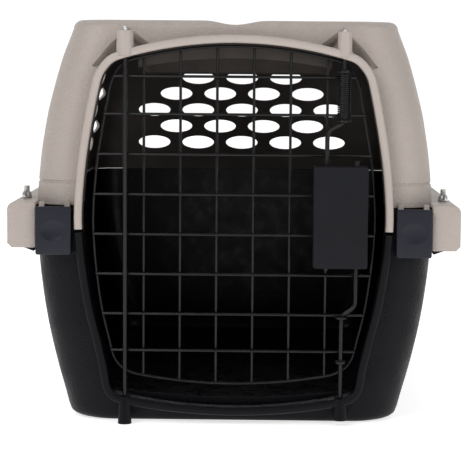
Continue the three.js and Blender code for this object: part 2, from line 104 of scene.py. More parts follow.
def ramp(nodes, links, source, stops):
    node = nodes.new("ShaderNodeValToRGB")
    links.new(source, node.inputs["Fac"])
    while len(node.color_ramp.elements) < len(stops):
        node.color_ramp.elements.new(0.5)
    for element, (at, colour) in zip(node.color_ramp.elements, stops):
        element.position = at
        element.color = (*colour, 1)
    return node.outputs["Color"]


def grey(value):
    return (value, value, value)


def bump(nodes, links, shader, height, distance, strength, under=None):
    node = nodes.new("ShaderNodeBump")
    node.inputs["Distance"].default_value = distance
    node.inputs["Strength"].default_value = strength
    links.new(height, node.inputs["Height"])
    if under is not None:
        links.new(under, node.inputs["Normal"])
    links.new(node.outputs["Normal"], shader.inputs["Normal"])
    return node.outputs["Normal"]


def shade(colour, factor):
    return tuple(min(1.0, c * factor) for c in colour)


def moulded_plastic(name, colour, roughness, pebble_mm, pebble_depth, variation=0.08, specular=0.5):
    """Injection-moulded plastic: a pebbled skin, a slow drift in colour, and scuffs that change its gloss."""
    material, nodes, links, shader = node_material(name)
    drift = texture(nodes, links, "ShaderNodeTexNoise", 14, 3)
    links.new(
        ramp(nodes, links, drift.outputs["Fac"],
             [(0.3, shade(colour, 1 - variation)), (0.7, shade(colour, 1 + variation))]),
        shader.inputs["Base Color"],
    )
    scuffs = texture(nodes, links, "ShaderNodeTexNoise", 60, 6)
    links.new(
        ramp(nodes, links, scuffs.outputs["Fac"],
             [(0.35, grey(roughness - 0.06)), (0.7, grey(roughness + 0.07))]),
        shader.inputs["Roughness"],
    )
    shader.inputs["Specular IOR Level"].default_value = specular
    pebble = texture(nodes, links, "ShaderNodeTexVoronoi", 1 / (pebble_mm * MM))
    pebble.feature = "SMOOTH_F1"
    first = bump(nodes, links, shader, pebble.outputs["Distance"], pebble_depth * MM, 0.8)
    fine = texture(nodes, links, "ShaderNodeTexNoise", 900, 2)
    bump(nodes, links, shader, fine.outputs["Fac"], 0.00005, 0.5, under=first)
    return material


def coated_wire(name):
    """Steel wire under a black powder coat with slight orange peel and worn spots."""
    material, nodes, links, shader = node_material(name)
    wear = texture(nodes, links, "ShaderNodeTexNoise", 120, 5)
    links.new(
        ramp(nodes, links, wear.outputs["Fac"], [(0.4, (0.0025, 0.0025, 0.003)), (0.75, (0.007, 0.007,
                                                                                         0.0085))]),
        shader.inputs["Base Color"],
    )
    links.new(
        ramp(nodes, links, wear.outputs["Fac"], [(0.3, grey(0.3)), (0.8, grey(0.45))]),
        shader.inputs["Roughness"],
    )
    peel = texture(nodes, links, "ShaderNodeTexNoise", 1400, 2)
    bump(nodes, links, shader, peel.outputs["Fac"], 0.00008, 0.5)
    shader.inputs["Specular IOR Level"].default_value = 0.3
    shader.inputs["Coat Weight"].default_value = 0.06
    shader.inputs["Coat Roughness"].default_value = 0.2
    return material


def zinc_steel(name):
    """Bright zinc plate with a crystalline mottle."""
    material, nodes, links, shader = node_material(name)
    shader.inputs["Metallic"].default_value = 1
    mottle = texture(nodes, links, "ShaderNodeTexVoronoi", 600)
    links.new(
        ramp(nodes, links, mottle.outputs["Distance"], [(0.1, (0.5, 0.5, 0.51)), (0.8, (0.72, 0.72, 0.72))]),
        shader.inputs["Base Color"],
    )
    links.new(
        ramp(nodes, links, mottle.outputs["Distance"], [(0.1, grey(0.28)), (0.8, grey(0.42))]),
        shader.inputs["Roughness"],
    )
    scratches = texture(nodes, links, "ShaderNodeTexNoise", 1600, 3)
    bump(nodes, links, shader, scratches.outputs["Fac"], 0.00005, 0.4)
    return material


TAUPE = (0.40, 0.348, 0.315)
PEBBLED_TAUPE = moulded_plastic("pebbled_taupe", TAUPE, 0.5, 1.9, 0.75, variation=0.03)
SMOOTH_TAUPE = moulded_plastic("smooth_taupe", shade(TAUPE, 1.06), 0.42, 1.0, 0.02, variation=0.03)
# The inside of the upper shell is painted far darker than the taupe outside: painted shade for the dim
# interior under the roof.
SHADED_INNER_TAUPE = moulded_plastic("inner_taupe_painted_shade", (0.05, 0.041, 0.036), 0.6, 1.4, 0.05, specular=0.25)
BLACK = (0.0055, 0.0057, 0.008)
PEBBLED_BLACK = moulded_plastic("pebbled_black", shade(BLACK, 0.8), 0.46, 1.9, 0.5, variation=0.15,
                                specular=0.14)
SMOOTH_BLACK = moulded_plastic("smooth_black", shade(BLACK, 0.7), 0.42, 1.0, 0.02, variation=0.1,
                               specular=0.12)
# The tub's inside is painted darker than its black outside: painted shade for the interior.
SHADED_INNER_BLACK = moulded_plastic("inner_black_painted_shade", shade(BLACK, 0.35), 0.3, 1.0, 0.02, variation=0.05,
                              specular=0.16)
CLIP_BLUE = moulded_plastic("clip_blue", (0.0105, 0.012, 0.0195), 0.42, 0.9, 0.015, variation=0.08,
                            specular=0.26)
LATCH_GREY = moulded_plastic("latch_grey", (0.0075, 0.0078, 0.0105), 0.6, 0.8, 0.25, variation=0.12,
                             specular=0.16)
WIRE_BLACK = coated_wire("black_wire")
ZINC = zinc_steel("zinc_steel")


# ---------------------------------------------------------------- mesh helpers
def raw_object(name, verts, faces, material):
    mesh = bpy.data.meshes.new(name)
    mesh.from_pydata([Vector(v) * MM for v in verts], [], faces)
    mesh.materials.append(material)
    piece = bpy.data.objects.new(name, mesh)
    bpy.context.scene.collection.objects.link(piece)
    work = bmesh.new()
    work.from_mesh(mesh)
    bmesh.ops.recalc_face_normals(work, faces=work.faces)
    work.to_mesh(mesh)
    work.free()
    return piece


def smooth(piece, limit=32):
    """Smooth faces, with the edges sharper than limit degrees kept crisp."""
    work = bmesh.new()
    work.from_mesh(piece.data)
    for face in work.faces:
        face.smooth = True
    for edge in work.edges:
        edge.smooth = len(edge.link_faces) == 2 and edge.calc_face_angle(0) < math.radians(limit)
    work.to_mesh(piece.data)
    work.free()
    return piece


def apply_modifiers(piece):
    evaluated = piece.evaluated_get(bpy.context.evaluated_depsgraph_get())
    mesh = bpy.data.meshes.new_from_object(evaluated)
    piece.modifiers.clear()
    old = piece.data
    piece.data = mesh
    bpy.data.meshes.remove(old)
    return piece


def merged(pieces):
    """One object from several, as loose parts."""
    first = pieces[0]
    for other in pieces[1:]:
        for slot in other.data.materials:
            if slot.name not in [m.name for m in first.data.materials]:
                first.data.materials.append(slot)
    names = [m.name for m in first.data.materials]
    work = bmesh.new()
    work.from_mesh(first.data)
    for other in pieces[1:]:
        start = len(work.faces)
        work.from_mesh(other.data)
        work.faces.ensure_lookup_table()
        lookup = [names.index(m.name) for m in other.data.materials]
        for face in work.faces[start:]:
            face.material_index = lookup[face.material_index]
        bpy.data.objects.remove(other)
    work.to_mesh(first.data)
    work.free()
    return first


def boolean(base, tools, operation):
    """Joins tools to base, or cuts them out of it, one after another."""
    for tool in tools if isinstance(tools, list) else [tools]:
        change = base.modifiers.new(operation, "BOOLEAN")
        change.operation = operation
        change.solver = "MANIFOLD"
        change.material_mode = "TRANSFER"
        change.object = tool
        apply_modifiers(base)
        bpy.data.objects.remove(tool)
    return base


def join(base, *tools):
    return boolean(base, list(tools), "UNION")


def cut(base, *tools):
    return boolean(base, list(tools), "DIFFERENCE")


def bevelled(piece, width_mm, segments=3, angle=40):
    change = piece.modifiers.new("round", "BEVEL")
    change.width = width_mm * MM
    change.segments = segments
    change.limit_method = "ANGLE"
    change.angle_limit = math.radians(angle)
    change.harden_normals = False
    return apply_modifiers(piece)


def repainted(piece, material):
    piece.data.materials[0] = material
    return piece


def bare_above(piece, z):
    """Bare zinc where the coating stops, above height z."""
    piece.data.materials.append(ZINC)
    for face in piece.data.polygons:
        if face.center.z > z * MM:
            face.material_index = 1
    return piece


def finished(piece, body, slot, *nodes, limit=32):
    smooth(piece, limit)
    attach(piece, body)
    if nodes:
        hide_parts(*nodes)
    return piece


def lofted(name, rings, material, closed=False, caps=True):
    """A skin over rings that all hold the same number of points."""
    n = len(rings[0])
    verts = [p for ring in rings for p in ring]
    faces = []
    spans = len(rings) if closed else len(rings) - 1
    for k in range(spans):
        a, b = k * n, ((k + 1) % len(rings)) * n
        faces += [(a + i, a + (i + 1) % n, b + (i + 1) % n, b + i) for i in range(n)]
    if caps and not closed:
        faces.append(tuple(reversed(range(n))))
        faces.append(tuple(range(len(verts) - n, len(verts))))
    return raw_object(name, verts, faces, material)


def block(name, low, high, material, round_mm=0.0, segments=3):
    xs, ys, zs = zip(low, high)
    verts = [(x, y, z) for z in zs for y in ys for x in xs]
    faces = [(0, 1, 3, 2), (4, 6, 7, 5), (0, 4, 5, 1), (1, 5, 7, 3), (3, 7, 6, 2), (2, 6, 4, 0)]
    piece = raw_object(name, verts, faces, material)
    return bevelled(piece, round_mm, segments) if round_mm else piece


def prism(name, outline, y0, y1, material):
    """An outline of (x, z) points, solid between two values of y."""
    return lofted(name, [[(x, y0, z) for x, z in outline], [(x, y1, z) for x, z in outline]], material)


def circle(r, sides):
    return [(r * math.cos(2 * math.pi * i / sides),
             r * math.sin(2 * math.pi * i / sides)) for i in range(sides)]


def turned(name, base, axis, profile, material, sides=32):
    """A solid of revolution about axis through base; profile is (height, radius) pairs."""
    axis = Vector(axis).normalized()
    side = axis.orthogonal().normalized()
    other = axis.cross(side)
    rings = [
        [Vector(base) + axis * h + side * u + other * v for u, v in circle(max(r, 0.01), sides)]
        for h, r in profile
    ]
    return lofted(name, rings, material)


def swept(name, points, radius, material, sides=16, closed=False, round_ends=True):
    """A round bar along points; its ends are rounded off."""
    points = [Vector(p) for p in points]
    count = len(points)
    rings = []
    side = None
    for i, p in enumerate(points):
        before = points[(i - 1) % count] if closed or i > 0 else p
        after = points[(i + 1) % count] if closed or i < count - 1 else p
        along = (after - before).normalized()
        side = along.orthogonal() if side is None else side - along * side.dot(along)
        side.normalize()
        other = along.cross(side)
        rings.append([p + side * u + other * v for u, v in circle(radius, sides)])
        if round_ends and not closed and i in (0, count - 1):
            back = -1 if i == 0 else 1
            caps = [
                [p + along * back * radius * 0.7 * math.sin(t)
                 + (side * u + other * v) * math.cos(t) for u, v in circle(radius, sides)]
                for t in (0.5, 1.0, 1.4)
            ]
            rings = list(reversed(caps)) + rings if i == 0 else rings + caps
    return lofted(name, rings, material, closed=closed)


def spline(points, per_span=10, closed=False):
    """Catmull-Rom curve through points."""
    points = [Vector(p) for p in points]
    n = len(points)
    spans = n if closed else n - 1
    out = []
    for k in range(spans):
        pick = [points[(k + j) % n] if closed else points[min(max(k + j, 0), n - 1)] for j in (-1, 0, 1, 2)]
        a, b, c, d = pick
        for s in range(per_span):
            t = s / per_span
            out.append(0.5 * (2 * b + (c - a) * t + (2 * a - 5 * b + 4 * c - d) * t * t
                              + (3 * b - a - 3 * c + d) * t ** 3))
    if not closed:
        out.append(points[-1])
    return out


def rounded_path(points, radius, steps=6):
    """Straight runs joined by arcs of about that radius."""
    points = [Vector(p) for p in points]
    out = [points[0]]
    for before, at, after in zip(points, points[1:], points[2:]):
        reach = min(radius, (before - at).length / 2.1, (after - at).length / 2.1)
        start = at + (before - at).normalized() * reach
        end = at + (after - at).normalized() * reach
        for s in range(steps + 1):
            t = s / steps
            out.append(start.lerp(at, t).lerp(at.lerp(end, t), t))
    out.append(points[-1])
    return out


# ---------------------------------------------------------------- outlines
def crown(half_width, edge_z, crown_z, steps):
    """Right half of a shallow arch, from its end to the middle."""
    return [
        (half_width * (1 - i / steps), crown_z + (edge_z - crown_z) * (1 - i / steps) ** 2)
        for i in range(steps + 1)
    ]


def relaxed(points, rounds):
    """Evens out a closed outline, which rounds its corners."""
    for _ in range(rounds):
        n = len(points)
        points = [
            ((points[i - 1][0] + 2 * points[i][0] + points[(i + 1) % n][0]) / 4,
             (points[i - 1][1] + 2 * points[i][1] + points[(i + 1) % n][1]) / 4)
            for i in range(n)
        ]
    return points


def evenly(points, step):
    """The same closed outline with points about step apart."""
    loop = points + [points[0]]
    lengths = [math.dist(a, b) for a, b in zip(loop, loop[1:])]
    count = round(sum(lengths) / step)
    out, k, walked = [], 0, 0.0
    for i in range(count):
        target = sum(lengths) * i / count
        while walked + lengths[k] < target:
            walked += lengths[k]
            k += 1
        t = (target - walked) / lengths[k]
        out.append((loop[k][0] + t * (loop[k + 1][0] - loop[k][0]),
                    loop[k][1] + t * (loop[k + 1][1] - loop[k][1])))
    return out


def closed_outline(bottom, knots, top):
    """Both halves of an outline, starting at the middle of its bottom."""
    side = [(p.x, p.y) for p in spline([(x, z, 0) for x, z in knots], 8)]
    half = bottom + side + top
    return relaxed(evenly(half + [(-x, z) for x, z in reversed(half[1:-1])], 3.0), 4)


def doorway():
    """The doorway's outline, starting at the middle of the sill and going up the right side."""
    sill = list(reversed(crown(108, 27.5, 16.5, 20)))
    knots = [(111.5, 29.5), (114.5, 36), (117.5, 55), (123.8, 82), (131, 111), (136.5, 144), (140, 175),
             (140.5, 204),
             (136.5, 249), (129, 294), (122, 326)]
    return closed_outline(sill, knots, crown(112, 338.5, 356, 20))


def door_outline():
    """The door's edge wire, which hangs clear of the sill."""
    bottom = list(reversed(crown(96, 47, 37.5, 20)))
    knots = [(104, 51.5), (110, 58), (113.4, 66), (115.5, 76), (122.4, 104), (127.8, 140), (130.8, 175),
             (131, 204),
             (127, 249), (119.5, 294), (115, 318), (108, 333)]
    return closed_outline(bottom, knots, crown(102, 338.5, 353, 20))


def grown(outline, by):
    n = len(outline)
    out = []
    for i, (x, z) in enumerate(outline):
        (ax, az), (bx, bz) = outline[i - 1], outline[(i + 1) % n]
        length = math.dist((ax, az), (bx, bz))
        out.append((x + by * (bz - az) / length, z - by * (bx - ax) / length))
    return out


DOORWAY = doorway()

# Half-width of the shells and how far their front and rear walls lean in, from the floor up.
PROFILE = [
    (0, 146, 9), (1, 150.4, 7), (2.5, 153.5, 5.4), (4.5, 155.6, 4.2), (7, 157.1, 3.3), (11, 158.2, 2.8),
    (15, 159, 2.5),
    (27, 162, 2), (39, 165.6, 1.6), (51, 168.7, 1.3), (63, 171.6, 1), (75, 174.4, 0.7), (86, 176.8, 0.4),
    (98, 179, 0.2),
    (110, 180.9, 0), (121, 182.5, 0), (133, 184, 0), (144, 185.3, 0), (158, 186.4, 0), (180, 187.3, 0),
    (204, 187.6, 0),
    (226, 186.3, 0), (242, 184.8, 0.2), (257, 183.2, 0.5), (272, 180.6, 0.9), (287, 178.3, 1.2),
    (302, 174.6, 1.7),
    (317, 170.8, 2.4), (332, 166.6, 3.3), (346, 162.5, 4.4), (354, 159.2, 5.2), (360, 156.8, 5.9),
    (365, 154.9, 6.4),
]
GROOVE_Z = 226
SHOULDER_R = 8  # rounds the roof's edge


def profile_at(z):
    shoulder_z = ROOF_Z - SHOULDER_R
    if z >= shoulder_z:
        sine = min(1.0, (z - shoulder_z) / SHOULDER_R)
        inset = SHOULDER_R * (1 - math.sqrt(1 - sine * sine))
        return 153.5 - inset, 7 + 1.4 * inset
    knots = PROFILE + [(shoulder_z, 153.5, 7)]
    for (z0, w0, l0), (z1, w1, l1) in zip(knots, knots[1:]):
        if z <= z1:
            t = (z - z0) / (z1 - z0)
            return w0 + t * (w1 - w0), l0 + t * (l1 - l0)
    return 153.5, 7


def smooth_profile(z):
    """profile_at, evened out over a few millimetres away from the roof's edge."""
    reach = max(0.0, min(9.0, 0.4 * z, ROOF_Z - SHOULDER_R - z))
    samples = [profile_at(z + reach * k / 3) for k in range(-3, 4)]
    return sum(s[0] for s in samples) / 7, sum(s[1] for s in samples) / 7


def plan(half_width, front, rear, front_r, rear_r, steps=12, along=16, across=10):
    """Rounded rectangle in plan, its long sides in several spans."""
    spots = [
        (half_width - front_r, front + front_r, front_r, -0.5, along),
        (half_width - rear_r, rear - rear_r, rear_r, 0.0, across),
        (rear_r - half_width, rear - rear_r, rear_r, 0.5, along),
        (front_r - half_width, front + front_r, front_r, 1.0, across),
    ]
    arcs = [
        [(cx + r * math.cos(math.pi * (start + 0.5 * i / steps)),
          cy + r * math.sin(math.pi * (start + 0.5 * i / steps)))
         for i in range(steps + 1)]
        for cx, cy, r, start, _ in spots
    ]
    out = []
    for k, arc in enumerate(arcs):
        out += arc
        (ax, ay), (bx, by) = arc[-1], arcs[(k + 1) % 4][0]
        spans = spots[k][4]
        out += [(ax + (bx - ax) * j / spans, ay + (by - ay) * j / spans) for j in range(1, spans)]
    return out


def heights(low, high, step=6.0):
    shoulder_z = ROOF_Z - SHOULDER_R
    top = min(high, shoulder_z)
    count = max(1, round((top - low) / step))
    out = [low + (top - low) * i / count for i in range(count + 1)]
    out += [z for z in (0.3, 1, 2.5, 4.5) if z > low]
    if high > shoulder_z:
        out += [z for z in (shoulder_z + SHOULDER_R * math.sin(math.pi / 2 * i / 7) for i in range(1,
                8)) if z < high]
        out.append(high)
    return sorted(set(round(z, 3) for z in out))


def body_skin(name, low, high, inset, material, grooves=()):
    rings = []
    levels = heights(low, high) + [g + d for g in grooves for d in (-1.4, -0.5, 0.5, 1.4)]
    for z in sorted(set(levels)):
        w, lean = smooth_profile(z)
        sunk = 0.7 if any(abs(z - g) < 0.6 for g in grooves) else 0
        grow = inset + sunk
        outline = plan(w - grow, FACE_Y + lean + grow, REAR_Y - lean - grow, CORNER_R - inset,
                       CORNER_R - inset)
        rings.append([(x, y, z) for x, y in outline])
    return lofted(name, rings, material)


# ---------------------------------------------------------------- shells
VENT_ROWS = [318.5, 298.4, 278.2, 258.0, 237.8]
VENT_PITCH = 54.6
VENT_HALF = (19.75, 7.9)


def vent_cutter(name, along, z, side_normal, at, tilt):
    """An oval plug with a flared mouth, square to a wall that stands at distance at along side_normal."""
    normal = Vector(side_normal)
    across = Vector((-normal.y, normal.x, 0))
    out = (normal * math.cos(tilt) + Vector((0, 0, math.sin(tilt)))).normalized()
    up = Vector((0, 0, math.cos(tilt))) - normal * math.sin(tilt)
    spot = normal * at + across * along + Vector((0, 0, z))
    rings = []
    for depth, grow in [(12, 0), (2.2, 0), (1.3, 0.15), (0.6, 0.6), (0.05, 1.3), (-0.5, 2.2), (-4, 6)]:
        rings.append([
            spot - out * depth + across * (VENT_HALF[0] + grow) * u + up * (VENT_HALF[1] + grow) * v
            for u, v in circle(1, 40)
        ])
    return lofted(name, rings, PEBBLED_TAUPE)


def vents():
    cutters = []
    for row, z in enumerate(VENT_ROWS):
        w0, lean0 = smooth_profile(z - 6)
        w1, lean1 = smooth_profile(z + 6)
        w, lean = smooth_profile(z)
        rear_count = [3, 4, 5, 4, 5][row]
        side_count, last_y = (9, 243) if row % 2 else (8, 216)
        for i in range(side_count):
            along = last_y - i * VENT_PITCH
            for side in (-1, 1):
                tilt = math.atan2(w0 - w1, 12)
                cutters.append(vent_cutter("vent", along * side, z, (side, 0, 0), w, tilt))
        for i in range(rear_count):
            along = (i - (rear_count - 1) / 2) * VENT_PITCH
            cutters.append(vent_cutter("vent", along, z, (0, 1, 0), REAR_Y - lean,
                                       math.atan2(lean1 - lean0, 12)))
    return merged(cutters)


def rim_section():
    """(outward, y) points of the rim's section, with rounded front edges."""
    rounds = [(0.0, 2.4), (0.4, 1.1), (1.1, 0.4), (2.4, 0.0)]
    front = [(o, RIM_FRONT_Y + d) for o, d in rounds]
    return front + [(RIM_WIDTH - o, RIM_FRONT_Y + d) for o, d in reversed(rounds)]


def rim_piece(name, indices, back_y, material, shaded_inner_material):
    """Part of the rim, swept along the doorway's outline; its faces towards the opening take a darker colour,
    which is painted shade.
    """
    normals = [Vector((b[0] - a[0], b[1] - a[1])) for a, b in zip(DOORWAY, grown(DOORWAY, 1.0))]
    section = rim_section()
    rings = []
    for i in indices:
        at, normal = Vector(DOORWAY[i]), normals[i]
        ring = [(at.x + normal.x * o, y, at.y + normal.y * o) for o, y in section]
        ring += [(at.x + normal.x * RIM_WIDTH, back_y, at.y + normal.y * RIM_WIDTH), (at.x, back_y, at.y)]
        rings.append(ring)
    piece = lofted(name, rings, material)
    piece.data.materials.append(shaded_inner_material)
    across = len(section) + 2
    for face in piece.data.polygons:
        if face.index % across == across - 1 and len(face.vertices) == 4:
            face.material_index = 1
    return piece


def run_of(test):
    """Indices of the doorway's points that pass test, as one run."""
    n = len(DOORWAY)
    start = next(i for i in range(n) if test(DOORWAY[i]) and not test(DOORWAY[i - 1]))
    out = []
    while test(DOORWAY[(start + len(out)) % n]) and len(out) < n:
        out.append((start + len(out)) % n)
    return out


def side_outline(side, low_z, inner_x, radius=7.0, chamfer=1.0):
    """Section of the flange: its top outer corner is rounded."""
    x = FLANGE_X
    arc = [
        (x - radius + radius * math.sin(a), SEAM_Z - radius + radius * math.cos(a))
        for a in (math.pi / 2 * i / 10 for i in range(11))
    ]
    outline = arc + [(x, low_z + chamfer), (x - chamfer, low_z), (inner_x, low_z), (inner_x, SEAM_Z)]
    return [(side * px, pz) for px, pz in outline]


def under_flange(side, y0, y1):
    xs = sorted((side * 150, side * (FLANGE_X - WALL)))
    return block("hollow", (xs[0], y0, SHELL_LOW.z - 30), (xs[1], y1, SPLIT_Z + 0.4), PEBBLED_TAUPE)


def flange_rail(side):
    """Side flange with its skirt, hollow below."""
    rail = prism("rail", side_outline(side, SKIRT_Z, 184), FACE_Y + 20, REAR_Y - 4, PEBBLED_TAUPE)
    return cut(rail, under_flange(side, FACE_Y, REAR_Y))


def flange_ear(side, front):
    """Deep corner of the flange, open below and towards the middle of the carrier."""
    tip = FACE_Y - 10 if front else REAR_Y - 4
    step = 1 if front else -1
    ends = sorted((tip, tip + step * EAR_LENGTH))
    ear = prism("ear", side_outline(side, EAR_Z, EAR_X, chamfer=4.0), *ends, PEBBLED_TAUPE)
    bevelled(ear, 1.4, 3, 50)
    return cut(ear, under_flange(side, *sorted((tip + step * WALL, tip + step * (EAR_LENGTH + 1)))))


def boss(name, x, low_z, high_z, radius, material):
    """Socket for a rod: a tapered post with a rounded rim; the web from the wall is added where it is used.
    """
    profile = [(0, radius + 0.6), (1, radius + 0.5), (high_z - low_z - 2, radius),
               (high_z - low_z - 0.6, radius - 0.4),
               (high_z - low_z, radius - 1.3)]
    return turned(name, (x, ROD_Y, low_z), (0, 0, 1), profile, material, 40)


def rod_bore(x, low_z, high_z):
    return turned("bore", (x, ROD_Y, low_z), (0, 0, 1), [(0, ROD_R + 0.5), (high_z - low_z,
                                                                            ROD_R + 0.5)], SMOOTH_TAUPE)


def pocket(side, grow):
    """Shallow recess in the front wall that a top boss stands in."""
    front = [(side * (ROD_X + dx), z) for dx, z in [(-30 - grow, 348), (0, 374 + grow), (32 + grow, 334),
                                                    (20, 330)]]
    back = [(side * (ROD_X + dx), z) for dx, z in [(-14 - grow, 348), (0, 365 + grow), (16 + grow, 336),
                                                   (12, 334)]]
    y = FACE_Y + 7 + grow
    rings = [[(x, FACE_Y - 12, z) for x, z in front], [(x, FACE_Y + 5, z) for x, z in front],
             [(x, y + 5, z) for x, z in back]]
    return lofted("pocket", rings, PEBBLED_TAUPE)


SCOOP_HALF = 30
SCOOP_DEPTH = 4


def scoop(half_width, depth):
    """Shallow channel from the roof's front edge to the handle tray."""
    arc = [
        (half_width * u, ROOF_Z - depth * 0.5 * (1 + math.cos(math.pi * u)))
        for u in (i / 12 for i in range(-12, 13))
    ]
    outline = [(x, z) for x, z in arc] + [(half_width, ROOF_Z + 9), (-half_width, ROOF_Z + 9)]
    return prism("scoop", outline, FACE_Y - 30, -100, PEBBLED_TAUPE)


TRAY_HALF = (92, 120)
TRAY_FLOOR_Z = corners("handle_bracket_front")[0].z - 0.4


def tray(grow, flare=0.0):
    """The handle's tray, its corners rounded in plan."""
    def ring(z, more):
        outline = plan(TRAY_HALF[0] + grow + more, -TRAY_HALF[1] - grow - more, TRAY_HALF[1] + grow + more,
                       14 + more, 14 + more, 8, 2, 2)
        return [(x, y, z) for x, y in outline]
    rings = [ring(TRAY_FLOOR_Z - grow, -5), ring(TRAY_FLOOR_Z - grow + 1.5, -1.8),
             ring(TRAY_FLOOR_Z - grow + 5, 0)]
    if flare:
        rings += [ring(ROOF_Z - 3, 0), ring(ROOF_Z - 1.2, flare * 0.3), ring(ROOF_Z, flare),
                  ring(ROOF_Z + 8, flare + 8)]
    else:
        rings += [ring(ROOF_Z + 8, 0)]
    return lofted("tray", rings, SMOOTH_TAUPE)


BOLT_SPOTS = [centre(f"wing_nut_{i}") for i in range(1, 9)]


def bolt_holes():
    return merged([
        turned("hole", (p.x, p.y, SPLIT_Z - 12), (0, 0, 1), [(0, 3.4), (30, 3.4)], ZINC,
               20) for p in BOLT_SPOTS
    ])


def clip_lugs(side):
    pin = centre("clip_pin_left" if side < 0 else "clip_pin_right")
    lugs = []
    for end in (-1, 1):
        x = pin.x + end * 12
        knob = turned("lug", (x - 2.5, pin.y, pin.z), (1, 0, 0),
                      [(0, 3.5), (0.5, 3.9), (4.5, 3.9), (5, 3.5)], SMOOTH_TAUPE)
        join(knob, block("arm", (x - 2.5, pin.y, pin.z - 3.9), (x + 2.5, FACE_Y - 0.4, pin.z + 3.7),
                         SMOOTH_TAUPE),
             block("stem", (x - 2.5, pin.y + 4.5, pin.z - 3.9), (x + 2.5, FACE_Y - 0.4, SEAM_Z),
                   SMOOTH_TAUPE))
        lugs.append(join(knob, block("root", (x - 2.5, pin.y + 4.5, SPLIT_Z + 0.5),
                                     (x + 2.5, FACE_Y + 2, SEAM_Z), SMOOTH_TAUPE)))
    return lugs


def upper_shell():
    shell = body_skin("upper_shell_moulding", SPLIT_Z + 0.4, ROOF_Z, 0, PEBBLED_TAUPE, grooves=(GROOVE_Z,))
    # The room's walls, the tray and scoop undersides and the doorway's jamb take the dark inner colour, which
    # is painted shade.
    room = body_skin("room", SPLIT_Z - 20, ROOF_Z - WALL, WALL, SHADED_INNER_TAUPE)
    dents = (tray(WALL), scoop(SCOOP_HALF + 7, SCOOP_DEPTH + WALL), pocket(-1, 2.5), pocket(1, 2.5))
    cut(room, *[repainted(dent, SHADED_INNER_TAUPE) for dent in dents])
    cut(shell, room, tray(0, 3.0), scoop(SCOOP_HALF, SCOOP_DEPTH), pocket(-1, 0), pocket(1, 0))
    cut(shell, prism("way", grown(DOORWAY, 0.5), FACE_Y - 20, FACE_Y + 40, SHADED_INNER_TAUPE))
    arch = rim_piece("arch", run_of(lambda p: p[1] > SPLIT_Z + 0.4), RIM_BACK_Y, SMOOTH_TAUPE, SHADED_INNER_TAUPE)
    tongues = [
        rim_piece("tongue", run_of(lambda p, s=side: p[0] * s > 0 and TONGUE_Z < p[1] < SPLIT_Z + 8),
                  FACE_Y - 0.4, SMOOTH_TAUPE, SHADED_INNER_TAUPE)
        for side in (-1, 1)
    ]
    join(shell, arch, *tongues)
    for side in (-1, 1):
        x = side * ROD_X
        join(shell, boss("boss", x, 344, 367, 7.6 if side < 0 else 6.4, SMOOTH_TAUPE),
             block("web", (x - 4, ROD_Y + 3, 346), (x + 4, FACE_Y + 10, 365), SMOOTH_TAUPE, 1, 2))
        join(shell, flange_rail(side), flange_ear(side, True), flange_ear(side, False), *clip_lugs(side))
    rear = block("rear", (-150, REAR_Y - 2.5, SPLIT_Z + 0.4), (150, REAR_EDGE_Y, SEAM_Z), PEBBLED_TAUPE, 1, 2)
    skirt = block("skirt", (-150, REAR_EDGE_Y - WALL, SKIRT_Z), (150, REAR_EDGE_Y, SEAM_Z - 1),
                  PEBBLED_TAUPE, 1, 2)
    join(shell, rear, skirt)
    stop_top = [(x, z) for x, z in crown(90, 349, 360, 10)]
    stop_low = [(x, z) for x, z in crown(90, 333, 342, 10)]
    stop = [*stop_top, *[(-x, z) for x, z in reversed(stop_top[:-1])],
            *[(-x, z) for x, z in stop_low[:-1]], *reversed(stop_low)]
    # The door stop takes the dark inner colour: painted shade for the shadow under the arch's lip.
    join(shell, prism("stop", stop, FACE_Y + 6, FACE_Y + 9, SHADED_INNER_TAUPE))
    cut(shell, vents(), bolt_holes(), rod_bore(-ROD_X, 325, 385), rod_bore(ROD_X, 325, 385))
    return finished(shell, "shells", "upper_plastic", "upper_shell", limit=28)


def lower_flange(side):
    xs = sorted((side * 185.5, side * (FLANGE_X - WALL - 0.4)))
    return block("plate", (xs[0], FACE_Y + 20, SPLIT_Z - WALL), (xs[1], REAR_Y - 7.4, SPLIT_Z), PEBBLED_BLACK)


def ear_filler(side):
    """Block of the lower shell that fills the front ear; it shows as a dark edge below it."""
    outer = FLANGE_X - WALL - 0.4
    tip = FACE_Y - 6.6
    low = EAR_Z - 4
    outline = [(EAR_X + 1.5, SPLIT_Z - 0.2), (outer, SPLIT_Z - 0.2), (outer, low + 8), (EAR_X + 1.5, low)]
    filler = prism("filler", [(side * x, z) for x, z in outline], tip, tip + 40, PEBBLED_BLACK)
    xs = sorted((side * 183, side * 190))
    root = block("root", (xs[0], tip + 25, low + 2), (xs[1], tip + 39.8, SPLIT_Z - 0.3), PEBBLED_BLACK)
    return join(bevelled(filler, 1.6, 3, 30), root)


